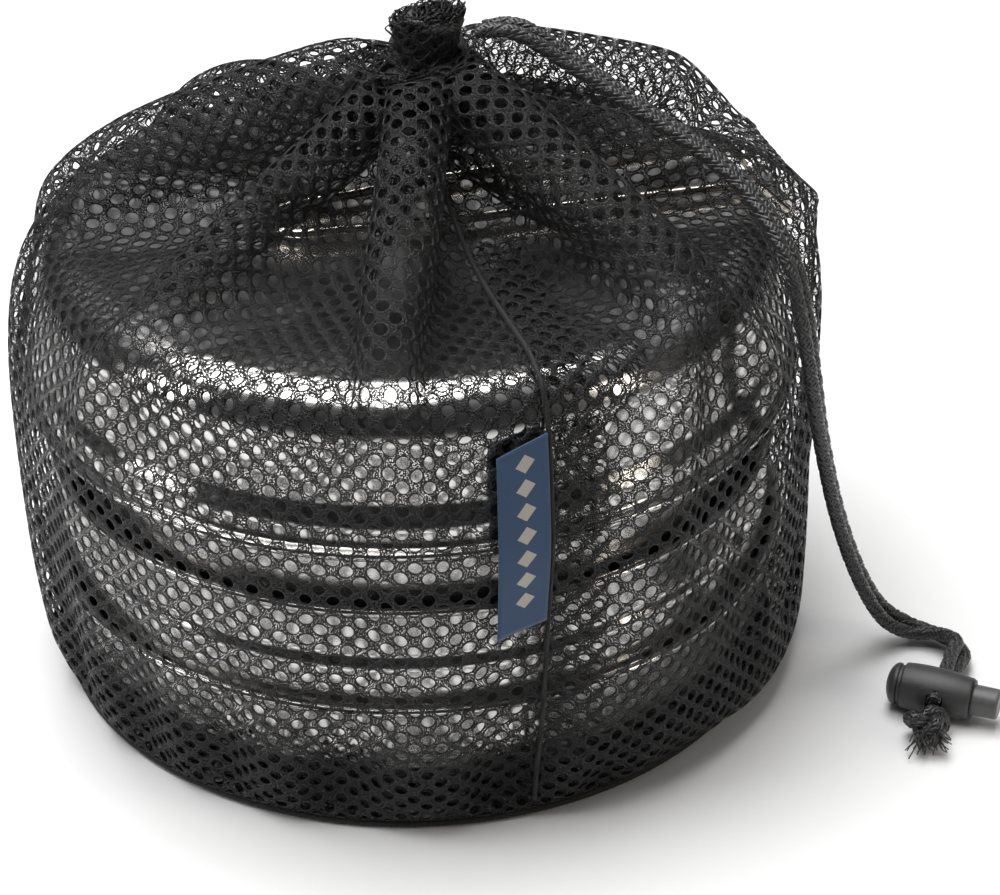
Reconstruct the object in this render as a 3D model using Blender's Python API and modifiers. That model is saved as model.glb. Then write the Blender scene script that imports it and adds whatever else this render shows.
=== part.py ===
"""Nested camping cook set in a drawstring mesh sack, with its drawcord and cord lock.

Metres, +Z up. The origin is the centre of the sack's base, on the surface it stands on.
The front, where the woven label is sewn in the side seam, faces -Y, and the cord lock lies at +X.

Vessels, from outside in: deep plate, large pot, small pot, all upright, and a fry pan turned
over as the lid. Each vessel is its own solid and lifts straight up out of the one around it.
"""

import math

import bmesh
import bpy
from mathutils import Matrix, Vector

# ---- driving dimensions -------------------------------------------------------------------
GAP = 0.0003                    # left between faces that touch

SHEET = 0.0008                  # wall of every vessel
BEAD = 0.0011                   # radius of a rolled rim

PAN_RIM_R, PAN_RIM_Z = 0.0910, 0.0742
PAN_WALL_R, PAN_TOP_Z = 0.0860, 0.1100
PAN_SHOULDER = 0.0110
PAN_SKIRT_R = 0.0885            # the wall widens to a skirt that grips the small pot's rim
PAN_STEP_TOP_Z, PAN_STEP_LOW_Z = 0.0866, 0.0800

SMALL_RIM_R, SMALL_RIM_Z = 0.0860, 0.0843
SMALL_WALL_R, SMALL_BASE_Z = 0.0820, 0.0062

LARGE_RIM_R, LARGE_RIM_Z = 0.0868, 0.0590
LARGE_WALL_R, LARGE_BASE_Z = 0.0842, 0.0051
LARGE_STEP_Z = 0.0440           # under it the wall is wider, to fill the plate
LARGE_LOW_R = 0.0855
STEP_HALF = 0.0020              # half the height of that step

PLATE_RIM_R, PLATE_RIM_Z = 0.0895, 0.0345
PLATE_WALL_R, PLATE_BASE_Z = 0.0868, 0.0038
BASE_CORNER = 0.0190            # rounding between a vessel's wall and its base

WIRE = 0.0024                   # diameter of every handle wire
POT_HANDLE_REACH = math.radians(66)
POT_HANDLE_TALL = 0.0105        # between the middles of a pot handle's two runs
HINGE_SPREAD = math.radians(7.5)
HINGE_OUT = 0.0030              # hinge axis outside the pot's wall
HINGE_TUBE_R = 0.0025

PAN_HANDLE_TURN = math.radians(13)
PAN_HINGE_R, PAN_HINGE_Z = 0.0895, 0.1020
PAN_HANDLE_TIP_X = -0.0310      # the folded loop reaches past the middle of the pan
PAN_HANDLE_HINGE_HALF = 0.0140
PAN_HANDLE_TIP_HALF = 0.0075

BAG_R = 0.0955
BAG_CLOTH = 0.0009
BAG_BASE_R = 0.0860
SEAM_CORD = 0.0018
NECK_X = 0.0080
MOUTH_Z = 0.1640
MOUTH_R = 0.0052                # middle of the hem's channel, drawn tight
HEM_TALL = 0.0140

SEAM_X = 0.0262                 # the side seam runs up the front wall here
SEAM_WIDE, SEAM_OUT = 0.0014, 0.0019
LABEL_WIDE, LABEL_TALL, LABEL_Z = 0.0120, 0.0460, 0.0790

CORD = 0.0030
LOCK_AT = Vector((0.1192, -0.0512, 0.0060))
LOCK_TURN = math.radians(-23.7)
LOCK_LONG, LOCK_R = 0.0205, 0.0057
BUTTON_R, BUTTON_OUT = 0.0036, 0.0060
BUTTON_TRAVEL = 0.0030
CORD_HOLE_X = 0.0020            # along the lock from its middle

# Both strands of the drawcord follow this route side by side, with the open space between them
# in the fourth column.
CORD_ROUTE = [
    (0.0180, -0.0025, 0.1555, 0.0040),
    (0.0265, -0.0050, 0.1560, 0.0024),
    (0.0385, -0.0085, 0.1488, 0.0010),
    (0.0523, -0.0145, 0.1405, 0.0003),
    (0.0650, -0.0205, 0.1332, 0.0003),
    (0.0752, -0.0280, 0.1258, 0.0003),
    (0.0822, -0.0390, 0.1168, 0.0003),
    (0.0852, -0.0442, 0.1065, 0.0003),
    (0.0884, -0.0442, 0.0890, 0.0003),
    (0.0929, -0.0370, 0.0660, 0.0003),
    (0.0985, -0.0315, 0.0430, 0.0003),
    (0.1050, -0.0280, 0.0240, 0.0006),
    (0.1118, -0.0250, 0.0105, 0.0014),
    (0.1190, -0.0235, 0.0042, 0.0006),
    (0.1262, -0.0262, 0.0036, 0.0003),
    (0.1298, -0.0330, 0.0048, 0.0010),
    (0.1270, -0.0400, 0.0060, 0.0004),
]

ROUND = 36                      # sides of the large turned pieces


# ---- shared construction ------------------------------------------------------------------
def clear_scene():
    for old in list(bpy.data.objects):
        bpy.data.objects.remove(old, do_unlink=True)


def new_collection(name):
    collection = bpy.data.collections.new(name)
    bpy.context.scene.collection.children.link(collection)
    return collection


def material(name, colour, roughness, metallic=0.0):
    made = bpy.data.materials.new(name)
    made.use_nodes = True
    shader = made.node_tree.nodes["Principled BSDF"]
    shader.inputs["Base Color"].default_value = (*colour, 1)
    shader.inputs["Roughness"].default_value = roughness
    shader.inputs["Metallic"].default_value = metallic
    return made


def add(name, data, look, collection):
    made = bpy.data.objects.new(name, data)
    if look:
        data.materials.append(look)
    collection.objects.link(made)
    return made


def turned(name, outline, look, steps=ROUND):
    """A closed outline of (radius, height) turned about +Z. It runs down its outer side."""
    mesh = bpy.data.meshes.new(name)
    verts = [(r, 0, z) for r, z in outline]
    closed = outline[0][0] > 1e-6 or outline[-1][0] > 1e-6
    ends = len(verts) if closed else len(verts) - 1
    mesh.from_pydata(verts, [(i, (i + 1) % len(verts)) for i in range(ends)], [])
    made = add(name, mesh, look, PARTS)
    screw = made.modifiers.new("turn", "SCREW")
    screw.steps = screw.render_steps = steps
    screw.use_merge_vertices = True
    screw.merge_threshold = 1e-5
    return made


def arc(cr, cz, radius, start, end, count):
    """Points of an arc, angles in degrees from +radius towards +height."""
    angles = [math.radians(start + (end - start) * i / count) for i in range(count + 1)]
    return [(cr + radius * math.cos(a), cz + radius * math.sin(a)) for a in angles]


def smooth(points, count):
    """Points of a smooth curve through the given ones (Catmull-Rom), evenly numbered."""
    pts = [Vector(p) for p in points]
    pts = [2 * pts[0] - pts[1], *pts, 2 * pts[-1] - pts[-2]]
    spans = len(pts) - 3
    out = []
    for k in range(count + 1):
        u = k / count * spans
        i = min(int(u), spans - 1)
        t = u - i
        a, b, c, d = pts[i : i + 4]
        out.append(0.5 * (2 * b + (c - a) * t + (2 * a - 5 * b + 4 * c - d) * t**2
                          + (3 * b - a - 3 * c + d) * t**3))
    return out


def tube(name, points, diameter, look):
    """A round wire or cord through the points, with flat ends."""
    curve = bpy.data.curves.new(name, "CURVE")
    curve.dimensions = "3D"
    curve.bevel_depth = diameter / 2
    curve.bevel_resolution = 2
    curve.use_fill_caps = True
    spline = curve.splines.new("POLY")
    spline.points.add(len(points) - 1)
    for point, place in zip(spline.points, points):
        point.co = (*place, 1)
    return add(name, curve, look, PARTS)


def cylinder(name, radius, length, matrix, look=None, sides=24):
    """A cylinder along its own Z, centred; with no material it is a cutter."""
    mesh = bpy.data.meshes.new(name)
    bm = bmesh.new()
    bmesh.ops.create_cone(bm, cap_ends=True, segments=sides, radius1=radius, radius2=radius,
                          depth=length, matrix=matrix)
    bm.to_mesh(mesh)
    bm.free()
    return hide_if_cutter(add(name, mesh, look, PARTS if look else CUTTERS), look)


def block(name, size, matrix, look=None):
    mesh = bpy.data.meshes.new(name)
    bm = bmesh.new()
    bmesh.ops.create_cube(bm, size=1, matrix=matrix @ Matrix.Diagonal((*size, 1)))
    bm.to_mesh(mesh)
    bm.free()
    return hide_if_cutter(add(name, mesh, look, PARTS if look else CUTTERS), look)


def hide_if_cutter(made, look):
    if not look:
        made.hide_render = True
        made.display_type = "WIRE"
    return made


def boolean(target, operation, other):
    step = target.modifiers.new(operation.lower(), "BOOLEAN")
    step.operation = operation
    step.object = other


def place(x, y, z, turn=0.0):
    return Matrix.Translation((x, y, z)) @ Matrix.Rotation(turn, 4, "Z")


# ---- vessels ------------------------------------------------------------------------------
def vessel_outline(rim_r, rim_z, wall_r, base_z, low_r=None, step_z=None):
    """An upright vessel: bead, wall with an optional wider lower part, rounded base."""
    low_r = low_r or wall_r
    corner = BASE_CORNER
    bead = arc(rim_r - BEAD, rim_z - BEAD, BEAD, 120, -100, 4)
    outer = [(wall_r, rim_z - 3.2 * BEAD)]
    inner = []
    if step_z:
        outer += [(wall_r, step_z + STEP_HALF), (low_r, step_z - STEP_HALF)]
        inner = [(low_r - SHEET, step_z - STEP_HALF), (wall_r - SHEET, step_z + STEP_HALF)]
    outer += arc(low_r - corner, base_z + corner, corner, 0, -90, 5)
    inner = [*arc(low_r - corner, base_z + corner, corner - SHEET, -90, 0, 5), *inner,
             (wall_r - SHEET, rim_z - 2.4 * BEAD)]
    return [*bead, *outer, (0, base_z), (0, base_z + SHEET), *inner]


def closed_turn(name, outline, look):
    """As turned, for an outline whose two axis points are in its middle."""
    split = next(i for i, p in enumerate(outline) if p[0] == 0)
    return turned(name, outline[split + 1 :] + outline[: split + 1], look)


def plate():
    closed_turn("deep_plate", vessel_outline(
        PLATE_RIM_R, PLATE_RIM_Z, PLATE_WALL_R, PLATE_BASE_Z), STEEL)


def large_pot():
    closed_turn("large_pot", vessel_outline(
        LARGE_RIM_R, LARGE_RIM_Z, LARGE_WALL_R, LARGE_BASE_Z, LARGE_LOW_R, LARGE_STEP_Z), STEEL)


def small_pot():
    closed_turn("small_pot", vessel_outline(
        SMALL_RIM_R, SMALL_RIM_Z, SMALL_WALL_R, SMALL_BASE_Z), STEEL)


def fry_pan():
    """The pan lies upside down: flat bottom up, shoulder, wall, step out, skirt and bead."""
    bead_r, bead_z = PAN_RIM_R - BEAD, PAN_RIM_Z + BEAD
    shoulder_r, shoulder_z = PAN_WALL_R - PAN_SHOULDER, PAN_TOP_Z - PAN_SHOULDER
    outline = [(0, PAN_TOP_Z)]
    outline += arc(shoulder_r, shoulder_z, PAN_SHOULDER, 90, 0, 5)
    outline += pan_step(0)
    outline += [(PAN_SKIRT_R, bead_z + 1.6 * BEAD)]
    outline += arc(bead_r, bead_z, BEAD, 120, -150, 5)
    outline += [(PAN_SKIRT_R - SHEET, bead_z + 1.2 * BEAD)]
    outline += reversed(pan_step(SHEET))
    outline += arc(shoulder_r, shoulder_z, PAN_SHOULDER - SHEET, 0, 90, 5)
    outline += [(0, PAN_TOP_Z - SHEET)]
    turned("fry_pan", outline, STEEL)


def pan_step(inward):
    """The pan's wall from its narrow upper part to its skirt, moved inward by a thickness."""
    points = []
    for k in range(5):
        share = 0.5 - 0.5 * math.cos(math.pi * k / 4)
        points.append((PAN_WALL_R + (PAN_SKIRT_R - PAN_WALL_R) * share - inward,
                       PAN_STEP_TOP_Z + (PAN_STEP_LOW_Z - PAN_STEP_TOP_Z) * k / 4))
    return points


# ---- handles ------------------------------------------------------------------------------
def pot_bracket(name, wall_r, middle_z):
    """A strap against the pot's back wall with a hinge tube at each end."""
    tall = 0.0060
    strap = cylinder(name, wall_r + GAP + 0.0012, tall, place(0, 0, middle_z), STEEL, 96)
    boolean(strap, "DIFFERENCE", cylinder(
        name + "_hollow", wall_r + GAP, 2 * tall, place(0, 0, middle_z), sides=96))
    keep = Vector((2 * (wall_r + HINGE_OUT) * math.sin(HINGE_SPREAD), 0.02, 2 * tall))
    boolean(strap, "INTERSECT", block(name + "_length", keep, place(0, wall_r, middle_z)))
    for side in (-1, 1):
        at = hinge_point(wall_r, middle_z, side)
        tube_at = place(*at)
        boolean(strap, "UNION", cylinder(
            f"{name}_tube{side}", HINGE_TUBE_R, tall + 0.0008, tube_at, sides=16))
        boolean(strap, "DIFFERENCE", cylinder(
            f"{name}_bore{side}", WIRE / 2 + 0.0002, 2 * tall, tube_at, sides=16))


def hinge_point(wall_r, middle_z, side):
    angle = math.pi / 2 - side * HINGE_SPREAD
    out = wall_r + HINGE_OUT
    return Vector((out * math.cos(angle), out * math.sin(angle), middle_z))


def pot_handle(name, wall_r, middle_z, side):
    """A wire loop that folds round the pot's wall; its ends turn into the hinge tube."""
    half = POT_HANDLE_TALL / 2
    start = math.pi / 2 - side * HINGE_SPREAD
    run_r = wall_r + HINGE_OUT
    corner = 0.0035 / run_r
    count = 14

    def at(angle, height):
        return Vector((run_r * math.cos(angle), run_r * math.sin(angle), middle_z + height))

    def run(height):
        return [at(start - side * (corner / 2 + (POT_HANDLE_REACH - corner) * i / count), height)
                for i in range(count + 1)]

    end = start - side * POT_HANDLE_REACH
    upper = [at(start, 0.0009), at(start, half - 0.0015), *run(half)]
    tip = [at(end - side * corner / 3, half * 0.55), at(end - side * corner / 3, -half * 0.55)]
    lower = [*reversed(run(-half)), at(start, 0.0015 - half), at(start, -0.0009)]
    tube(name, [*upper, *tip, *lower], WIRE, WIRE_STEEL)


def pan_point(along, across, height):
    """A point on the pan, along and across its folded handle."""
    c, s = math.cos(PAN_HANDLE_TURN), math.sin(PAN_HANDLE_TURN)
    return Vector((along * c - across * s, along * s + across * c, height))


def pan_handle():
    """A tapering wire loop lying on the pan's bottom, cranked down over the shoulder."""
    top = PAN_TOP_Z + GAP + WIRE / 2 + 0.0004
    hinge, tip = PAN_HANDLE_HINGE_HALF, PAN_HANDLE_TIP_HALF
    side = [
        (PAN_HINGE_R, 0.0062, PAN_HINGE_Z),
        (PAN_HINGE_R, hinge - 0.0020, PAN_HINGE_Z),
        (PAN_HINGE_R - 0.0012, hinge, PAN_HINGE_Z + 0.0012),
        (PAN_HINGE_R - 0.0070, hinge, PAN_HINGE_Z + 0.0075),
        (PAN_HINGE_R - 0.0120, hinge, top),
        (0.0300, (hinge + tip) / 2 + 0.0010, top),
        (PAN_HANDLE_TIP_X + 0.0070, tip, top),
    ]
    tip_arc = [(PAN_HANDLE_TIP_X + 0.0070 - tip * math.sin(math.radians(a)),
                tip * math.cos(math.radians(a)), top) for a in (25, 50, 75, 105, 130, 155)]
    mirrored = [(x, -y, z) for x, y, z in reversed(side)]
    tube("fry_pan_handle", [pan_point(*p) for p in [*side, *tip_arc, *mirrored]],
         WIRE, WIRE_STEEL)


def pan_bracket():
    """A plate on the pan's wall carrying the tube that the handle's two ends turn in."""
    turn = PAN_HANDLE_TURN
    tall = 0.0100
    wide = 2 * (PAN_HANDLE_HINGE_HALF - 0.0040)
    middle_z = PAN_HINGE_Z - 0.0050
    plate_at = place(*pan_point(0, 0, middle_z), turn)
    strap = cylinder("fry_pan_bracket", PAN_WALL_R + GAP + 0.0012, tall, plate_at, STEEL, 96)
    boolean(strap, "DIFFERENCE", cylinder(
        "pan_bracket_hollow", PAN_WALL_R + GAP, 2 * tall, plate_at, sides=96))
    boolean(strap, "INTERSECT", block(
        "pan_bracket_length", (0.02, wide, 2 * tall),
        place(*pan_point(PAN_WALL_R, 0, middle_z), turn)))
    across = (place(*pan_point(PAN_HINGE_R, 0, PAN_HINGE_Z), turn)
              @ Matrix.Rotation(math.pi / 2, 4, "X"))
    boolean(strap, "UNION", cylinder("pan_bracket_tube", HINGE_TUBE_R, wide + 0.0008, across, sides=16))
    boolean(strap, "DIFFERENCE", cylinder(
        "pan_bracket_bore", WIRE / 2 + 0.0002, 2 * wide, across, sides=16))


# ---- sack ---------------------------------------------------------------------------------
def bag_profile():
    """(radius, height, sideways lean) of the cloth's middle, from the base to the mouth."""
    return [
        (BAG_BASE_R + 0.0032, 0.0030, 0),
        (0.0930, 0.0085, 0),
        (BAG_R - 0.0006, 0.0200, 0),
        (BAG_R, 0.0500, 0),
        (BAG_R, 0.0960, 0),
        (0.0935, 0.1060, 0),
        (0.0870, 0.1150, 0),
        (0.0740, 0.1215, 0.0010),
        (0.0540, 0.1275, 0.0030),
        (0.0340, 0.1360, 0.0055),
        (0.0180, 0.1430, NECK_X),
        (MOUTH_R + 0.0010, MOUTH_Z - HEM_TALL - 0.0012, NECK_X),
    ]


def bag_wall():
    """The sack's mesh as one sheet, open at the mouth and at the base panel."""
    mesh = bpy.data.meshes.new("bag_wall")
    bm = bmesh.new()
    rings = []
    for radius, height, lean in bag_profile():
        rings.append([bm.verts.new((lean + radius * math.cos(a), radius * math.sin(a), height))
                      for a in [2 * math.pi * k / ROUND for k in range(ROUND)]])
    for low, high in zip(rings, rings[1:]):
        for k in range(ROUND):
            bm.faces.new((low[k - 1], low[k], high[k], high[k - 1]))
    bm.to_mesh(mesh)
    bm.free()
    made = add("bag_wall", mesh, MESH_CLOTH, PARTS)
    cloth = made.modifiers.new("cloth", "SOLIDIFY")
    cloth.thickness = BAG_CLOTH
    cloth.offset = 0


def bag_base():
    """The round base panel, and the bound seam that joins it to the wall."""
    turned("bag_bottom", [(0, 0.0021), (BAG_BASE_R, 0.0021), (BAG_BASE_R, 0.0009), (0, 0.0009)],
           MESH_CLOTH)
    middle = BAG_BASE_R + GAP + SEAM_CORD / 2
    ring = arc(middle, SEAM_CORD / 2, SEAM_CORD / 2, 90, -270, 8)[:-1]
    turned("bag_base_seam", ring, BINDING)


def bag_side_seam():
    """The bound seam allowance down the outside of the front wall, up to the shoulder."""
    low, high = (0.0060, 0.1130)
    wall = [(r, z) for r, z, _ in bag_profile()]
    seam = []
    for k in range(25):
        height = low + (high - low) * k / 24
        (r0, z0), (r1, z1) = next((a, b) for a, b in zip(wall, wall[1:]) if a[1] <= height <= b[1])
        radius = r0 + (r1 - r0) * (height - z0) / (z1 - z0) + SEAM_OUT
        seam.append((SEAM_X, -math.sqrt(radius**2 - SEAM_X**2), height))
    tube("bag_side_seam", seam, SEAM_WIDE, BINDING)


def bag_label():
    """The woven label, caught in the side seam by its right edge."""
    left, right = SEAM_X - 0.0012 - LABEL_WIDE, SEAM_X - 0.0012
    middle_x = (left + right) / 2
    out = BAG_R + BAG_CLOTH / 2 + 0.0006
    angle = math.asin(middle_x / out)
    label_at = place(middle_x, -out * math.cos(angle) - 0.0003, LABEL_Z, angle)
    label = block("bag_label", (LABEL_WIDE, 0.0006, LABEL_TALL), label_at, LABEL)
    label.modifiers.new("edge", "BEVEL").width = 0.0001


def bag_mouth():
    """The hem that the drawcord runs in, gathered tight, and the cord's loop inside it."""
    low, high = MOUTH_Z - HEM_TALL, MOUTH_Z
    inner, outer = MOUTH_R - 0.0029, MOUTH_R + 0.0029
    wall = 0.0008
    channel = [(outer, high), (outer, low), (outer - wall, low), (outer - wall, high - wall),
               (inner + wall, high - wall), (inner + wall, low), (inner, low), (inner, high)]
    hem = turned("bag_hem", channel, MESH_CLOTH, 24)
    hem.location.x = NECK_X
    loop = arc(MOUTH_R, MOUTH_Z - HEM_TALL / 2, CORD / 2, 90, -270, 8)[:-1]
    cord = turned("drawcord_in_hem", loop, CORD_BLACK, 24)
    cord.location.x = NECK_X


# ---- drawcord and cord lock ---------------------------------------------------------------
def lock_frame(along=0.0, across=0.0, up=0.0):
    """A point of the cord lock, along its axis towards the button, across it and up."""
    c, s = math.cos(LOCK_TURN), math.sin(LOCK_TURN)
    return LOCK_AT + Vector((along * c - across * s, along * s + across * c, up))


def strand_route(side):
    """One strand: the shared route, moved sideways by half a cord and half the open space."""
    shared = [Vector(p[:3]) for p in CORD_ROUTE]
    space = [p[3] for p in CORD_ROUTE]
    moved = []
    for i, point in enumerate(shared):
        run = shared[min(i + 1, len(shared) - 1)] - shared[max(i - 1, 0)]
        outward = Vector((point.x, point.y, 0)).normalized() + Vector((0, 0, 0.6))
        sideways = run.cross(outward).normalized()
        moved.append(point + side * sideways * (CORD + space[i]) / 2)
    into = [lock_frame(CORD_HOLE_X, LOCK_R + 0.0022, side * (CORD + GAP) / 2)]
    out = [lock_frame(CORD_HOLE_X, -LOCK_R - 0.0008, side * (CORD + GAP) / 2)]
    return [*moved, *into, *out]


def drawcord():
    for name, side in (("drawcord_strand_a", 1), ("drawcord_strand_b", -1)):
        tube(name, smooth(strand_route(side), 52), CORD, CORD_BLACK)
    knot = bmesh.new()
    bmesh.ops.create_uvsphere(knot, u_segments=12, v_segments=8, radius=0.0040)
    mesh = bpy.data.meshes.new("cord_knot")
    knot.to_mesh(mesh)
    knot.free()
    made = add("cord_knot", mesh, CORD_BLACK, PARTS)
    made.location = lock_frame(CORD_HOLE_X, -LOCK_R - 0.0008 - GAP - 0.0042, -0.0015)


def lock_barrel():
    """The lock's body: a barrel with a blind bore from the button's end and a cord hole."""
    half = LOCK_LONG / 2
    outline = [(0, half), (BUTTON_R + 0.0008, half), (LOCK_R * 0.86, half - 0.0008)]
    outline += [(LOCK_R * math.cos(math.radians(a)), half * 0.80 * math.sin(math.radians(a)))
                for a in (38, 19, 0, -19, -38)]
    outline += [(LOCK_R * 0.80, -half * 0.66), (LOCK_R * 0.80, -half * 0.72),
                (LOCK_R * 0.86, -half * 0.78), (LOCK_R * 0.70, -half + 0.0010),
                (LOCK_R * 0.45, -half), (0, -half)]
    barrel = turned("lock_barrel", outline, LOCK_PLASTIC, 24)
    along = Matrix.Rotation(LOCK_TURN, 4, "Z") @ Matrix.Rotation(math.pi / 2, 4, "Y")
    barrel.matrix_world = Matrix.Translation(LOCK_AT) @ along
    bore_from = -half + 0.0030
    bore_mid = (bore_from + half + 0.0010) / 2
    bore_long = half + 0.0010 - bore_from
    boolean(barrel, "DIFFERENCE", cylinder(
        "lock_bore", BUTTON_R + 0.0002, bore_long,
        Matrix.Translation(lock_frame(bore_mid)) @ along))
    boolean(barrel, "DIFFERENCE", cord_hole("lock_cord_hole", CORD + 0.0008))


def cord_hole(name, wide, shift=0.0):
    """The slot across the lock that both strands pass through, one above the other."""
    return block(name, (wide, 0.0200, 2 * CORD + GAP + 0.0008),
                 place(*lock_frame(CORD_HOLE_X + shift), LOCK_TURN))


def lock_button():
    """The sprung plunger. Its own slot is wider by its travel, so it slides past the cord."""
    half = LOCK_LONG / 2
    inner = -half + 0.0030 + 0.0048
    outer = half + BUTTON_OUT
    cap = 0.0006
    outline = [(0, outer), (BUTTON_R - cap, outer), (BUTTON_R, outer - cap),
               (BUTTON_R, inner), (0, inner)]
    button = turned("lock_button", outline, BUTTON_PLASTIC, 20)
    along = Matrix.Rotation(LOCK_TURN, 4, "Z") @ Matrix.Rotation(math.pi / 2, 4, "Y")
    button.matrix_world = Matrix.Translation(LOCK_AT) @ along
    slot_wide = CORD + 0.0008 + BUTTON_TRAVEL
    boolean(button, "DIFFERENCE", cord_hole("button_cord_hole", slot_wide, BUTTON_TRAVEL / 2))


def lock_spring():
    """The coil spring between the bottom of the bore and the plunger."""
    half = LOCK_LONG / 2
    start, long, radius, turns = -half + 0.0036, 0.0036, 0.0024, 3
    count = turns * 12
    points = []
    for k in range(count + 1):
        a = 2 * math.pi * k / 12
        points.append(lock_frame(start + long * k / count, radius * math.cos(a),
                                 radius * math.sin(a)))
    spring = tube("lock_spring", points, 0.0005, WIRE_STEEL)
    spring.data.bevel_resolution = 1


# ---- assembly -----------------------------------------------------------------------------
clear_scene()
PARTS = new_collection("cook_set")
CUTTERS = new_collection("cutters")

STEEL = material("satin_steel", (0.62, 0.61, 0.59), 0.28, 1.0)
WIRE_STEEL = material("bright_wire", (0.72, 0.69, 0.64), 0.16, 1.0)
MESH_CLOTH = material("black_mesh", (0.018, 0.018, 0.020), 0.65)
BINDING = material("seam_binding", (0.012, 0.012, 0.013), 0.80)
LABEL = material("woven_label", (0.035, 0.080, 0.180), 0.85)
CORD_BLACK = material("braided_cord", (0.014, 0.014, 0.015), 0.70)
LOCK_PLASTIC = material("lock_plastic", (0.050, 0.050, 0.052), 0.55)
BUTTON_PLASTIC = material("button_plastic", (0.170, 0.170, 0.175), 0.50)

plate()
large_pot()
small_pot()
fry_pan()
pan_bracket()
pan_handle()

SMALL_HANDLE_Z = (PAN_RIM_Z + LARGE_RIM_Z) / 2      # hangs between the two rims
LARGE_HANDLE_Z = 0.0488                             # just above the step of its wall
for pot, pot_wall_r, handle_z in (("small_pot", SMALL_WALL_R, SMALL_HANDLE_Z),
                                  ("large_pot", LARGE_WALL_R, LARGE_HANDLE_Z)):
    pot_bracket(pot + "_bracket", pot_wall_r, handle_z)
    pot_handle(pot + "_handle_right", pot_wall_r, handle_z, 1)
    pot_handle(pot + "_handle_left", pot_wall_r, handle_z, -1)

bag_base()
bag_wall()
bag_side_seam()
bag_label()
bag_mouth()
drawcord()
lock_barrel()
lock_button()
lock_spring()
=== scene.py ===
"""Looks of the cook set in its mesh sack: draped net, steel vessels, braided cord and cord lock.

Metres, in the frame's own axes: +Z up, the label faces -Y, the cord lock lies at +X.
"""

import math

import bmesh
import bpy
import numpy as np
from mathutils import Matrix, Vector


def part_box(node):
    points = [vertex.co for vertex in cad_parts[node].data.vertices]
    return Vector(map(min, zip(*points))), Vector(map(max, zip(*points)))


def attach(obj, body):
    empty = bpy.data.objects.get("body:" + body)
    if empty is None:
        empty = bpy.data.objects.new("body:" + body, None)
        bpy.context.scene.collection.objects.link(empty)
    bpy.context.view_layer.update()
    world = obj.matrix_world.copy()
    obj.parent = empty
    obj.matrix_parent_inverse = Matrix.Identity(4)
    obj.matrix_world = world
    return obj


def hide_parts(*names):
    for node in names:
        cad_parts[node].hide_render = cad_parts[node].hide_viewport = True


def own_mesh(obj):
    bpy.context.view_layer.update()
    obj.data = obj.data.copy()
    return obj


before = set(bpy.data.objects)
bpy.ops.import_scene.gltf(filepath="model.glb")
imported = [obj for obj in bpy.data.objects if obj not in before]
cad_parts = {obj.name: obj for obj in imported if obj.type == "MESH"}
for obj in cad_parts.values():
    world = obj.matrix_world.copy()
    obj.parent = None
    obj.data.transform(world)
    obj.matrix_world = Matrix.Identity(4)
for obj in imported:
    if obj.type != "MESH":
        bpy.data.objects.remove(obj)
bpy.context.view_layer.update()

# ---- sizes shared with the CAD model ------------------------------------------------------
SHEET = 0.0008                  # wall of every vessel
BEAD = 0.0011                   # radius of a rolled rim
BASE_CORNER = 0.0190            # rounding between a vessel's wall and its base
STEP_HALF = 0.0020              # half the height of a wall's step
# Rim radius and height, wall radius, base height, and the radius and top of a wider lower wall.
PLATE = (0.0895, 0.0345, 0.0868, 0.0038)
LARGE_POT = (0.0868, 0.0590, 0.0842, 0.0051, 0.0855, 0.0440)
SMALL_POT = (0.0860, 0.0843, 0.0820, 0.0062)
PAN_RIM_R, PAN_SKIRT_R, PAN_WALL_R, PAN_SHOULDER = 0.0910, 0.0885, 0.0860, 0.0110
PAN_STEP_Z = (0.0866, 0.0800)   # top and foot of the step from wall to skirt
WIRE = 0.0024                   # diameter of every handle wire
CORD = 0.0030
PAN_TURN = math.radians(13)
PAN_HINGE_R, PAN_HINGE_Z = 0.0895, 0.1020
PAN_TOP_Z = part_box("fry_pan")[1].z
PAN_HINGE_HALF, PAN_TIP_HALF, PAN_TIP_X = 0.0140, 0.0075, -0.0310
HINGE_SPREAD = math.radians(7.5)
HINGE_OUT = 0.0030              # hinge axis outside a pot's wall
POT_HANDLE_REACH = math.radians(66)
LOCK_AT = Vector((0.1192, -0.0512, 0.0060))
LOCK_TURN = math.radians(-23.7)
LOCK_LONG, LOCK_R = 0.0205, 0.0057
BUTTON_R, BUTTON_OUT = 0.0036, 0.0060
BUTTON_TRAVEL = 0.0030
CORD_HOLE_X = 0.0020            # along the lock from its middle

# The drawcord's route, as in the CAD model: x, y, z and the open space between the strands.
CORD_ROUTE = [
    (0.0180, -0.0025, 0.1555, 0.0040),
    (0.0265, -0.0050, 0.1560, 0.0024),
    (0.0385, -0.0085, 0.1488, 0.0010),
    (0.0523, -0.0145, 0.1405, 0.0003),
    (0.0650, -0.0205, 0.1332, 0.0003),
    (0.0752, -0.0280, 0.1258, 0.0003),
    (0.0822, -0.0390, 0.1168, 0.0003),
    (0.0852, -0.0442, 0.1065, 0.0003),
    (0.0884, -0.0442, 0.0890, 0.0003),
    (0.0929, -0.0370, 0.0660, 0.0003),
    (0.0985, -0.0315, 0.0430, 0.0003),
    (0.1050, -0.0280, 0.0240, 0.0006),
    (0.1118, -0.0250, 0.0105, 0.0014),
    (0.1190, -0.0235, 0.0042, 0.0006),
    (0.1262, -0.0262, 0.0036, 0.0003),
    (0.1298, -0.0330, 0.0048, 0.0010),
    (0.1270, -0.0400, 0.0060, 0.0004),
]

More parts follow.
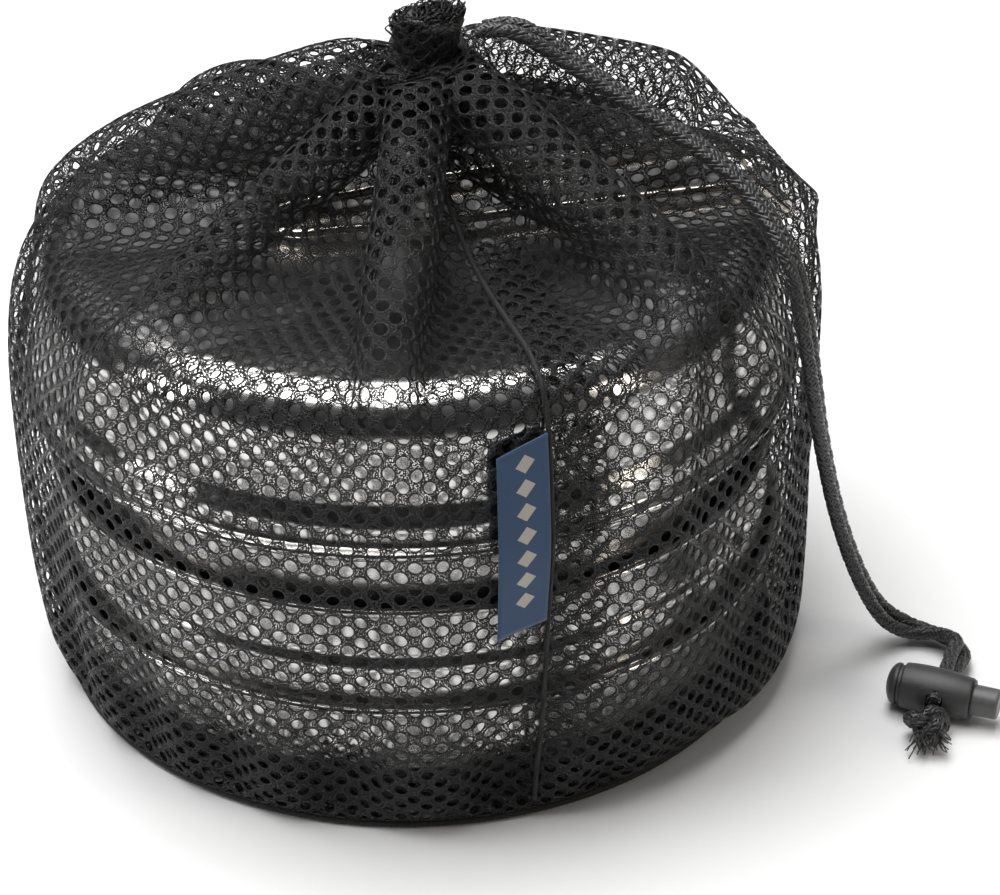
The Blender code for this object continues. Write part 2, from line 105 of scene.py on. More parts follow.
# ---- the sack's cloth ---------------------------------------------------------------------
CLOTH_ROUND = 0.6020            # flat width of the wall, all the way round
CLOTH_TALL = 0.2170             # flat height, from the base seam to the mouth
GRID_COLUMNS, GRID_ROWS = 176, 64
HEM_ROWS = 4                    # rows of the grid that the drawcord holds
BASE_R = 0.0882
OPEN_R = 0.0985                 # radius of the wall before the cord draws the mouth in
NECK_X, NECK_R, NECK_Z = 0.0060, 0.0050, 0.1462
NECK_LONG, NECK_SLOPE = 1.3, 0.22
TIGHT_FRONT, FRONT = 0.036, math.radians(-95)   # the cloth is pulled taut over the front
HOLES_ROUND = 102               # holes in one row
HOLE_ROW = 0.00265              # between rows of holes
HOLE_R = 0.00146
NET_THICK = 0.00038
NET_BASE_R = 0.0860             # radius of the base's round panel
CLEAR = 0.0013                  # between the middle of the cloth and the vessels
FLOOR_CLEAR = 0.0022
LIMIT_R = 0.0960                # the cloth is kept inside this radius
SEAM_SHARE = 1 - 74.1 / 360     # how far round the cloth, from +X, the side seam is
LABEL_LOW, LABEL_TALL, LABEL_WIDE = 0.0580, 0.0430, 0.0112
GAP_SHARE = 0.43                # how much of a knit loop is open

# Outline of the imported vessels, bridged from rim to rim as tight cloth does: radius, height.
PACK_OUTLINE = [
    (0.0, 0.1108), (0.0745, 0.1108), (0.0822, 0.1074), (0.0862, 0.0990), (0.0914, 0.0765),
    (0.0915, 0.0740), (0.0900, 0.0345), (0.0876, 0.0220), (0.0820, 0.0100), (0.0720, 0.0040),
]


# ---- materials ----------------------------------------------------------------------------
def fill_ramp(node, stops):
    """Sets a colour ramp's stops, each a place and a colour."""
    elements = node.color_ramp.elements
    while len(elements) < len(stops):
        elements.new(0.5)
    for element, (place, colour) in zip(elements, stops):
        element.position = place
        element.color = (*colour, 1)


class Look:
    """A material with short calls for its nodes."""

    def __init__(self, name):
        self.material = bpy.data.materials.new(name)
        self.material.use_nodes = True
        self.tree = self.material.node_tree
        self.shader = self.tree.nodes["Principled BSDF"]

    def set(self, **values):
        for key, value in values.items():
            self.shader.inputs[key.replace("_", " ")].default_value = value
        return self

    def node(self, kind, inputs=(), **settings):
        made = self.tree.nodes.new("ShaderNode" + kind)
        for key, value in settings.items():
            setattr(made, key, value)
        for key, value in dict(inputs).items():
            if isinstance(value, bpy.types.NodeSocket):
                self.tree.links.new(value, made.inputs[key])
            else:
                made.inputs[key].default_value = value
        return made

    def math(self, operation, a, b=0.0):
        return self.node("Math", {0: a, 1: b}, operation=operation).outputs[0]

    def ramp(self, factor, stops):
        made = self.node("ValToRGB", {"Fac": factor})
        fill_ramp(made, stops)
        return made.outputs["Color"]

    def noise(self, vector, scale, detail=3.0, roughness=0.55):
        return self.node("TexNoise", {"Vector": vector, "Scale": scale, "Detail": detail,
                                      "Roughness": roughness}).outputs["Fac"]

    def object_space(self):
        return self.node("TexCoord").outputs["Object"]

    def uv(self, name="UVMap"):
        return self.node("UVMap", uv_map=name).outputs["UV"]

    def split(self, vector):
        return self.node("SeparateXYZ", {"Vector": vector}).outputs

    def bump(self, height, strength, distance):
        made = self.node("Bump", {"Height": height, "Strength": strength, "Distance": distance})
        self.link(made.outputs["Normal"], "Normal")

    def link(self, socket, name):
        self.tree.links.new(socket, self.shader.inputs[name])

    def grainy(self, grain, stops, spread, rough, strength, depth):
        """Colour, roughness and bump that all follow one grain."""
        self.link(self.ramp(grain, stops), "Base Color")
        self.link(self.math("ADD", self.math("MULTIPLY", grain, spread), rough), "Roughness")
        self.bump(grain, strength, depth)
        return self.material


def grey(value):
    return (value, value, value)


def steel_look():
    """Satin stainless sheet, brushed round the vessel's axis, with faint smears."""
    look = Look("satin_steel").set(Metallic=1.0)
    place = look.object_space()
    x, y, z = look.split(place)
    radius = look.math("SQRT", look.math("ADD", look.math("MULTIPLY", x, x),
                                         look.math("MULTIPLY", y, y)))
    rings = look.node("CombineXYZ", {"X": radius, "Y": 0.0, "Z": z}).outputs[0]
    brushed = look.noise(rings, 3800.0, 2.0)
    smears = look.noise(place, 26.0, 4.0)
    look.link(look.ramp(smears, [(0.3, (0.60, 0.590, 0.575)), (0.7, (0.70, 0.692, 0.68))]),
              "Base Color")
    rough = look.math("ADD", look.math("MULTIPLY", smears, 0.07),
                      look.math("MULTIPLY", brushed, 0.09))
    look.link(look.math("ADD", rough, 0.09), "Roughness")
    look.bump(brushed, 0.10, 0.00006)
    return look.material


def wire_look():
    look = Look("bright_wire").set(Metallic=1.0)
    marks = look.noise(look.object_space(), 420.0, 3.0)
    return look.grainy(marks, [(0.35, (0.74, 0.70, 0.64)), (0.7, (0.84, 0.80, 0.73))],
                       0.14, 0.08, 0.06, 0.0001)


def net_look(name, shade):
    """Warp-knit polyester: filament yarns with painted glints on their crests and painted shade
    towards the fine gaps, solid rims round the holes.
    """
    look = Look(name).set(Specular_IOR_Level=0.35)
    flat = look.uv()
    from_rim = look.split(look.uv("web"))[0]
    yarns = look.noise(flat, 2400.0, 2.0, 0.7)
    loops = look.node("TexVoronoi", {"Vector": flat, "Scale": 2400.0, "Randomness": 0.75},
                      voronoi_dimensions="2D").outputs["Distance"]
    rim = look.math("SUBTRACT", 1.0, from_rim)
    yarn_relief_and_painted_light = look.math("MULTIPLY", loops, look.math("ADD", yarns, 0.45))
    tone = look.math("ADD", yarn_relief_and_painted_light, look.math("MULTIPLY", rim, 0.10))
    # Painted light: this tone is lowest where the yarn dips towards the gaps, highest on the yarn
    # crests, and a little higher towards the hole rims. The ramp paints it from near black to a
    # pale, faintly pink grey, as painted shade and painted glints. The same tone is also the bump's
    # height.
    look.link(look.ramp(tone, [(0.30, grey(shade)), (0.62, grey(shade * 3.0)),
                               (0.86, (shade * 9.5, shade * 8.8, shade * 9.2))]), "Base Color")
    look.link(look.math("ADD", look.math("MULTIPLY", yarns, 0.3), 0.27), "Roughness")
    look.bump(tone, 1.0, 0.00025)
    gap = look.math("MULTIPLY", look.math("LESS_THAN", loops, GAP_SHARE),
                    look.math("GREATER_THAN", from_rim, 0.25))
    look.link(look.math("SUBTRACT", 1.0, gap), "Alpha")
    return look.material


def binding_look():
    look = Look("seam_binding").set(Sheen_Weight=0.05, Specular_IOR_Level=0.3)
    threads = look.noise(look.object_space(), 2600.0, 2.0, 0.7)
    return look.grainy(threads, [(0.35, grey(0.004)), (0.7, grey(0.022))],
                       0.25, 0.45, 0.8, 0.0003)


def yarn_look():
    """Polyester yarn of the braided cord: near black, with a soft sheen along the yarn, partly from
    the shader's sheen and gloss and partly painted as pale glints in the colour.
    """
    look = Look("braid_yarn").set(Sheen_Weight=0.05, Specular_IOR_Level=0.60)
    filament_grain_and_glints = look.noise(look.object_space(), 3400.0, 2.0, 0.7)
    # Painted highlight: the ramp's pale top stop paints glints on the yarn; the two dark stops are
    # the yarn's own tone.
    return look.grainy(filament_grain_and_glints, [(0.35, grey(0.005)), (0.6, grey(0.018)), (0.75, grey(0.10))],
                       0.3, 0.22, 0.6, 0.0001)


def plastic_look(name, shade, grain, rough):
    look = Look(name).set(Specular_IOR_Level=0.5)
    place = look.object_space()
    speckle = look.noise(place, 5200.0, 2.0, 0.6)
    rub = look.noise(place, 190.0, 4.0)
    look.link(look.ramp(rub, [(0.3, grey(shade * 0.85)), (0.7, grey(shade * 1.2))]), "Base Color")
    look.link(look.math("ADD", look.math("MULTIPLY", rub, 0.18), rough), "Roughness")
    look.bump(speckle, grain, 0.00008)
    return look.material


def label_look():
    """Blue twill with a row of small cream lozenges."""
    look = Look("woven_label").set(Sheen_Weight=0.15)
    u, v, _ = look.split(look.uv())
    twill = look.math("FRACT", look.math("MULTIPLY", look.math("ADD", u, v), 1900.0))
    weft = look.math("FRACT", look.math("MULTIPLY", v, 3600.0))
    step = look.math("SUBTRACT", look.math("FRACT", look.math("DIVIDE", v, 0.0052)), 0.5)
    sideways = look.math("DIVIDE", look.math("ABSOLUTE", look.math("SUBTRACT", u, 0.0060)), 0.0021)
    lozenge = look.math("LESS_THAN", look.math(
        "ADD", look.math("MULTIPLY", look.math("ABSOLUTE", step), 2.6), sideways), 1.0)
    inside = look.math("MULTIPLY", look.math("GREATER_THAN", v, 0.0052),
                       look.math("LESS_THAN", v, 0.0416))
    cream = look.math("MULTIPLY", lozenge, inside)
    blue = look.ramp(twill, [(0.2, (0.010, 0.034, 0.085)), (0.6, (0.024, 0.066, 0.140))])
    pale = look.ramp(weft, [(0.2, (0.30, 0.28, 0.23)), (0.7, (0.50, 0.47, 0.40))])
    mixed = look.node("Mix", {0: cream, 6: blue, 7: pale}, data_type="RGBA")
    look.link(mixed.outputs[2], "Base Color")
    look.link(look.math("ADD", look.math("MULTIPLY", twill, 0.15), 0.70), "Roughness")
    look.bump(look.math("ADD", twill, weft), 0.5, 0.00012)
    return look.material


def floor_look():
    look = Look("studio_floor").set(Roughness=0.65, Specular_IOR_Level=0.25)
    tone = look.noise(look.object_space(), 2.0, 2.0)
    look.link(look.ramp(tone, [(0.0, grey(0.84)), (1.0, grey(0.86))]), "Base Color")
    return look.material


# ---- shared construction ------------------------------------------------------------------
def placed(name, data):
    made = bpy.data.objects.new(name, data)
    bpy.context.scene.collection.objects.link(made)
    return made


def evaluated(made):
    """The mesh of an object with its modifiers applied."""
    bpy.context.view_layer.update()
    graph = bpy.context.evaluated_depsgraph_get()
    return bpy.data.meshes.new_from_object(made.evaluated_get(graph))


def piece(name, mesh, look, body, replaced=()):
    """A visual piece that rides on a body, with the CAD nodes that it replaces."""
    if look and not mesh.materials:
        mesh.materials.append(look)
    made = placed(name, mesh)
    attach(made, body)
    if replaced:
        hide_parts(*replaced)
    return made


def built_mesh(name, points, loops, starts):
    """A mesh from its points, its faces' corners in turn, and each face's first corner."""
    mesh = bpy.data.meshes.new(name)
    mesh.vertices.add(len(points))
    mesh.vertices.foreach_set("co", points.ravel())
    mesh.loops.add(len(loops))
    mesh.loops.foreach_set("vertex_index", loops.astype(np.int32))
    mesh.polygons.add(len(starts))
    mesh.polygons.foreach_set("loop_start", starts.astype(np.int32))
    mesh.update(calc_edges=True)
    mesh.validate()
    mesh.shade_smooth()
    return mesh


def mesh_from(name, points, faces):
    """A mesh of same-sized faces, from arrays."""
    points, faces = np.asarray(points, float), np.asarray(faces)
    count, sides = faces.shape
    return built_mesh(name, points, faces.ravel(), np.arange(count) * sides)


def with_uv(mesh, flat, name="UVMap"):
    """Gives each corner its vertex's flat place, in metres."""
    layer = mesh.uv_layers.new(name=name)
    corner = np.empty(len(mesh.loops), np.int32)
    mesh.loops.foreach_get("vertex_index", corner)
    layer.data.foreach_set("uv", np.asarray(flat, np.float32)[corner].ravel())
    return mesh


def arc(cr, cz, radius, start, end, count):
    """Points of an arc, angles in degrees from +radius towards +height."""
    angles = [math.radians(start + (end - start) * i / count) for i in range(count + 1)]
    return [(cr + radius * math.cos(a), cz + radius * math.sin(a)) for a in angles]


def smooth_curve(points, count):
    """Points of a Catmull-Rom curve through the given ones."""
    pts = [Vector(p) for p in points]
    pts = [2 * pts[0] - pts[1], *pts, 2 * pts[-1] - pts[-2]]
    spans = len(pts) - 3
    out = []
    for k in range(count + 1):
        u = k / count * spans
        i = min(int(u), spans - 1)
        t = u - i
        a, b, c, d = pts[i : i + 4]
        out.append(0.5 * (2 * b + (c - a) * t + (2 * a - 5 * b + 4 * c - d) * t**2
                          + (3 * b - a - 3 * c + d) * t**3))
    return out


def evenly(points, step):
    """The same path with points a fixed step apart."""
    pts = np.array([tuple(p) for p in points], float)
    along = np.concatenate([[0], np.cumsum(np.linalg.norm(np.diff(pts, axis=0), axis=1))])
    count = max(4, round(along[-1] / step))
    places = np.linspace(0, along[-1], count + 1)
    return np.stack([np.interp(places, along, pts[:, k]) for k in range(3)], 1)


def frames_along(path):
    """Tangent, and two directions across it that don't twist, at each point of a path."""
    tangent = np.gradient(path, axis=0)
    tangent /= np.linalg.norm(tangent, axis=1)[:, None]
    side = np.cross(tangent[0], [0.31, 0.22, 0.92])
    sides = []
    for t in tangent:
        side = side - t * (side @ t)
        side = side / np.linalg.norm(side)
        sides.append(side)
    sides = np.array(sides)
    return tangent, sides, np.cross(tangent, sides)


def tube_arrays(path, wide, thick, outward=None, sides=8):
    """Points and faces of a tube with an oval section, closed at both ends."""
    path = np.asarray(path, float)
    tangent, across, up = frames_along(path)
    if outward is not None:
        up = outward - tangent * (outward * tangent).sum(1, keepdims=True)
        up /= np.linalg.norm(up, axis=1)[:, None]
        across = np.cross(up, tangent)
    angle = np.linspace(0, 2 * math.pi, sides, endpoint=False)
    ring = (path[:, None] + across[:, None] * (wide / 2 * np.cos(angle))[:, None]
            + up[:, None] * (thick / 2 * np.sin(angle))[:, None])
    count = len(path)
    points = np.concatenate([ring.reshape(-1, 3), path[:1], path[-1:]])
    i, k = np.meshgrid(np.arange(count - 1), np.arange(sides), indexing="ij")
    a, b = i * sides + k, i * sides + (k + 1) % sides
    faces = np.stack([a, a + sides, b + sides, b], -1).reshape(-1, 4)
    k = np.arange(sides)
    following, end, tip = (k + 1) % sides, (count - 1) * sides, count * sides
    caps = [np.stack([np.full(sides, tip), k, following], 1),
            np.stack([np.full(sides, tip + 1), end + following, end + k], 1)]
    return points, faces, np.concatenate(caps)


def joined(name, tubes):
    """One mesh from several (points, quads, triangles)."""
    points, loops, starts, first_point, first_corner = [], [], [], 0, 0
    for tube_points, quads, triangles in tubes:
        points.append(tube_points)
        for faces in (quads, triangles):
            count, sides = faces.shape
            starts.append(first_corner + np.arange(count) * sides)
            loops.append((faces + first_point).ravel())
            first_corner += count * sides
        first_point += len(tube_points)
    return built_mesh(name, np.concatenate(points), np.concatenate(loops),
                      np.concatenate(starts))


def turned(name, outline, segments=160):
    """An outline of (radius, height), running down its outer side, turned about +Z."""
    outline = np.array(outline, float)
    angle = np.linspace(0, 2 * math.pi, segments, endpoint=False)
    ring = np.stack([outline[:, None, 0] * np.cos(angle), outline[:, None, 0] * np.sin(angle),
                     np.repeat(outline[:, 1:], segments, 1)], -1)
    count = len(outline)
    closed = outline[0, 0] > 1e-6
    i, k = np.meshgrid(np.arange(count if closed else count - 1), np.arange(segments),
                       indexing="ij")
    below = (i + 1) % count * segments
    a, b = i * segments + k, i * segments + (k + 1) % segments
    c, d = below + k, below + (k + 1) % segments
    faces = np.stack([a, c, d, b], -1).reshape(-1, 4)
    mesh = mesh_from(name, ring.reshape(-1, 3), faces)
    bm = bmesh.new()
    bm.from_mesh(mesh)
    bmesh.ops.remove_doubles(bm, verts=bm.verts, dist=1e-7)
    bm.to_mesh(mesh)
    bm.free()
    mesh.shade_smooth()
    return mesh


# ---- camera, lights and floor -------------------------------------------------------------
def camera():
    rise, away = math.radians(32), 0.640
    target = Vector((0, 0, 0.045))
    data = bpy.data.cameras.new("camera")
    data.lens = 94.8
    data.sensor_width = 36
    data.shift_x, data.shift_y = 0.087, 0.0037
    made = placed("camera", data)
    back = Vector((0, -math.cos(rise), math.sin(rise)))
    roll = math.radians(-2)
    made.matrix_world = (Matrix.Translation(target + back * away)
                         @ Matrix.Rotation(math.pi / 2 - rise, 4, "X")
                         @ Matrix.Rotation(roll, 4, "Z"))
    bpy.context.scene.camera = made


def softbox(name, place, aim, size, power, colour=(1, 1, 1)):
    data = bpy.data.lights.new(name, "AREA")
    data.shape = "RECTANGLE"
    data.size, data.size_y = size
    data.energy = power
    data.color = colour
    made = placed(name, data)
    made.location = place
    direction = Vector(aim) - Vector(place)
    made.rotation_euler = direction.to_track_quat("-Z", "Y").to_euler()


def studio():
    mesh = bpy.data.meshes.new("floor")
    bm = bmesh.new()
    bmesh.ops.create_grid(bm, x_segments=4, y_segments=4, size=9.0)
    bm.to_mesh(mesh)
    bm.free()
    mesh.materials.append(floor_look())
    placed("floor", mesh)
    world_light()
    softbox("overhead", (-0.16, 0.10, 0.95), (0, 0, 0.03), (0.95, 0.80), 15.5)
    softbox("left", (-0.95, -0.25, 0.45), (0, 0, 0.06), (0.35, 0.60), 3.0)
    softbox("right", (0.85, -0.45, 0.42), (0, 0, 0.06), (0.16, 0.55), 1.6, (1.0, 0.93, 0.84))
    bpy.context.scene.view_settings.view_transform = "Standard"


def world_light():
    """A dark room in front and a paler wall and ceiling behind, mirrored as bands in the steel."""
    world = bpy.data.worlds.new("studio")
    world.use_nodes = True
    tree = world.node_tree
    direction = tree.nodes.new("ShaderNodeTexCoord").outputs["Generated"]
    facing = tree.nodes.new("ShaderNodeVectorMath")
    facing.operation = "DOT_PRODUCT"
    facing.inputs[1].default_value = (0, 0.35, 0.75)
    tree.links.new(direction, facing.inputs[0])
    ramp = tree.nodes.new("ShaderNodeValToRGB")
    tree.links.new(facing.outputs["Value"], ramp.inputs["Fac"])
    stops = [(0.18, 0.035), (0.45, 0.09), (0.62, 0.30), (0.80, 0.55)]
    fill_ramp(ramp, [(place, (value, value, value * 1.02)) for place, value in stops])
    tree.links.new(ramp.outputs["Color"], tree.nodes["Background"].inputs["Color"])
    bpy.context.scene.world = world


# ---- drawcord -----------------------------------------------------------------------------
def lock_point(along=0.0, across=0.0, up=0.0):
    """A point of the cord lock, along its axis towards the button, across it and up."""
    c, s = math.cos(LOCK_TURN), math.sin(LOCK_TURN)
    return LOCK_AT + Vector((along * c - across * s, along * s + across * c, up))


def strand_route(side):
    """One strand: the shared route, moved sideways by half a cord and half the open space."""
    shared = [Vector(p[:3]) for p in CORD_ROUTE]
    space = [p[3] for p in CORD_ROUTE]
    moved = []
    for i, point in enumerate(shared):
        run = shared[min(i + 1, len(shared) - 1)] - shared[max(i - 1, 0)]
        outward = Vector((point.x, point.y, 0)).normalized() + Vector((0, 0, 0.6))
        sideways = run.cross(outward).normalized()
        moved.append(point + side * sideways * (CORD + space[i]) / 2)
    stack = side * (CORD + 0.0003) / 2
    into = [lock_point(CORD_HOLE_X, LOCK_R + 0.0022, stack)]
    out = [lock_point(CORD_HOLE_X, -LOCK_R - 0.0008, stack)]
    return [*moved, *into, *out]


def braid(path, diameter, carriers=8, pitch=0.0105):
    """Tubes of a braid: yarns winding both ways, two over and two under, round a core."""
    path = evenly(path, 0.00050)
    _, across, up = frames_along(path)
    along = np.concatenate([[0], np.cumsum(np.linalg.norm(np.diff(path, axis=0), axis=1))])
    tubes = [tube_arrays(path, diameter * 0.80, diameter * 0.80, sides=10)]
    for turn in (1, -1):
        for k in range(carriers):
            angle = turn * (2 * math.pi * along / pitch) + 2 * math.pi * k / carriers
            lift = turn * np.sin(2 * math.pi * along * 4 / pitch + k * math.pi / 2)
            outward = across * np.cos(angle)[:, None] + up * np.sin(angle)[:, None]
            radius = diameter / 2 - 0.00014 + 0.00017 * lift
            yarn = path + outward * radius[:, None]
            tubes.append(tube_arrays(yarn, 0.00086, 0.00046, outward, sides=6))
    return tubes


def drawcord(look):
    for letter, side in (("a", 1), ("b", -1)):
        route = smooth_curve(strand_route(side), 240)
        mesh = joined("drawcord_" + letter, braid(route, CORD))
        strand = piece("drawcord_" + letter, mesh, look, "sack",
                       ["drawcord_strand_" + letter])
        path = [tuple(p) for p in evenly(route, 0.002)]
        length = sum((Vector(b) - Vector(a)).length for a, b in zip(path, path[1:]))
        STRANDS.append((strand, path, round(length, 3)))


# ---- vessels ------------------------------------------------------------------------------
def soft_step(high_r, low_r, high_z, low_z, count=14):
    """A wall's change of radius, rounded at both ends."""
    return [(high_r + (low_r - high_r) * (0.5 - 0.5 * math.cos(math.pi * k / count)),
             high_z + (low_z - high_z) * k / count) for k in range(count + 1)]


def vessel_outline(rim_r, rim_z, wall_r, base_z, low_r=None, step_z=None):
    """An upright vessel: rolled bead, wall with an optional wider lower part, rounded base."""
    low_r, corner = low_r or wall_r, BASE_CORNER
    bead = arc(rim_r - BEAD, rim_z - BEAD, BEAD, 120, -120, 14)
    outer = [(wall_r + 0.00025, rim_z - 2.3 * BEAD), (wall_r, rim_z - 3.2 * BEAD)]
    inner = arc(low_r - corner, base_z + corner, corner - SHEET, -90, 0, 24)
    if step_z:
        outer += soft_step(wall_r, low_r, step_z + STEP_HALF, step_z - STEP_HALF)
        inner += soft_step(low_r - SHEET, wall_r - SHEET, step_z - STEP_HALF, step_z + STEP_HALF)
    outer += arc(low_r - corner, base_z + corner, corner, 0, -90, 24)
    inner += [(wall_r - SHEET, rim_z - 2.4 * BEAD)]
    floor_in = [(0.0, base_z), (0.0, base_z + SHEET)]
    return [*bead, *outer, (0.030, base_z), *floor_in, (0.030, base_z + SHEET), *inner]


def pan_outline():
    """The upturned pan: flat bottom, shoulder, wall, step out to a skirt, and rolled bead."""
    wall, shoulder, skirt, step = PAN_WALL_R, PAN_SHOULDER, PAN_SKIRT_R, PAN_STEP_Z
    bead_r, bead_z = PAN_RIM_R - BEAD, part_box("fry_pan")[0].z + BEAD
    top, inside = PAN_TOP_Z, PAN_TOP_Z - SHEET
    disc, ring, flat, deep = 0.045, 0.0475, 0.0500, 0.0003      # the disc pressed in the bottom
    outline = [(0.0, top - deep), (disc, top - deep), (ring, top), (flat, top)]
    outline += arc(wall - shoulder, top - shoulder, shoulder, 90, 0, 24)
    outline += soft_step(wall, skirt, *step)
    outline += [(skirt, bead_z + 1.6 * BEAD)]
    outline += arc(bead_r, bead_z, BEAD, 120, -150, 16)
    outline += [(skirt - SHEET, bead_z + 1.2 * BEAD)]
    outline += soft_step(skirt - SHEET, wall - SHEET, *reversed(step))
    outline += arc(wall - shoulder, top - shoulder, shoulder - SHEET, 0, 90, 24)
    outline += [(flat, inside), (ring, inside), (disc, inside - deep), (0.0, inside - deep)]
    return outline


def vessels(look):
    for name, outline, body, node in (
            ("plate_shell", vessel_outline(*PLATE), "plate", "deep_plate"),
            ("large_pot_shell", vessel_outline(*LARGE_POT), "large_pot", "large_pot"),
            ("small_pot_shell", vessel_outline(*SMALL_POT), "small_pot", "small_pot"),
            ("pan_shell", pan_outline(), "fry_pan", "fry_pan")):
        piece(name, turned(name, outline, 192), look, body, [node])


def pan_point(along, across, height):
    c, s = math.cos(PAN_TURN), math.sin(PAN_TURN)
    return Vector((along * c - across * s, along * s + across * c, height))


def pan_handle(look):
    top = PAN_TOP_Z + 0.0003 + WIRE / 2 + 0.0004
    hinge, tip, tip_x = PAN_HINGE_HALF, PAN_TIP_HALF, PAN_TIP_X
    side = [(PAN_HINGE_R, 0.0062, PAN_HINGE_Z), (PAN_HINGE_R, hinge - 0.0034, PAN_HINGE_Z),
            (PAN_HINGE_R - 0.0004, hinge - 0.0012, PAN_HINGE_Z + 0.0004),
            (PAN_HINGE_R - 0.0016, hinge, PAN_HINGE_Z + 0.0018),
            (PAN_HINGE_R - 0.0070, hinge, PAN_HINGE_Z + 0.0075),
            (PAN_HINGE_R - 0.0094, hinge, top - 0.0006),
            (PAN_HINGE_R - 0.0130, hinge, top), (0.0500, (hinge * 2 + tip) / 3 + 0.0006, top),
            (0.0100, (hinge + tip) / 2, top), (tip_x + 0.0110, tip + 0.0004, top)]
    ends = [(tip_x + 0.0072 - tip * math.sin(math.radians(a)), tip * math.cos(math.radians(a)),
             top) for a in range(5, 176, 17)]
    route = [*side, *ends, *[(x, -y, z) for x, y, z in reversed(side)]]
    path = evenly(smooth_curve([pan_point(*p) for p in route], 400), 0.0006)
    mesh = joined("pan_wire", [tube_arrays(path, WIRE, WIRE, sides=16)])
    piece("pan_wire", mesh, look, "fry_pan_wire_handle", ["fry_pan_handle"])


def pot_wire(pot, side_name, side, look):
    low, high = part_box(f"{pot}_handle_{side_name}")
    middle, half = (low.z + high.z) / 2, (high.z - low.z - WIRE) / 2
    wall_r = {"large_pot": LARGE_POT, "small_pot": SMALL_POT}[pot][2]
    run_r = wall_r + HINGE_OUT
    start = math.pi / 2 - side * HINGE_SPREAD
    corner = 0.0035 / run_r

    def at(angle, height):
        return (run_r * math.cos(angle), run_r * math.sin(angle), middle + height)

    run = [start - side * (corner / 2 + (POT_HANDLE_REACH - corner) * i / 20) for i in range(21)]
    end = start - side * POT_HANDLE_REACH
    route = [at(start, 0.0009), at(start, half - 0.0016), *[at(a, half) for a in run],
             at(end - side * corner / 3, half * 0.5), at(end - side * corner / 3, -half * 0.5),
             *[at(a, -half) for a in reversed(run)], at(start, 0.0016 - half), at(start, -0.0009)]
    path = evenly(smooth_curve(route, 400), 0.0008)
    name = f"{pot}_{side_name}_wire"
    mesh = joined(name, [tube_arrays(path, WIRE, WIRE, sides=12)])
    piece(name, mesh, look, f"{pot}_{side_name}_handle", [f"{pot}_handle_{side_name}"])


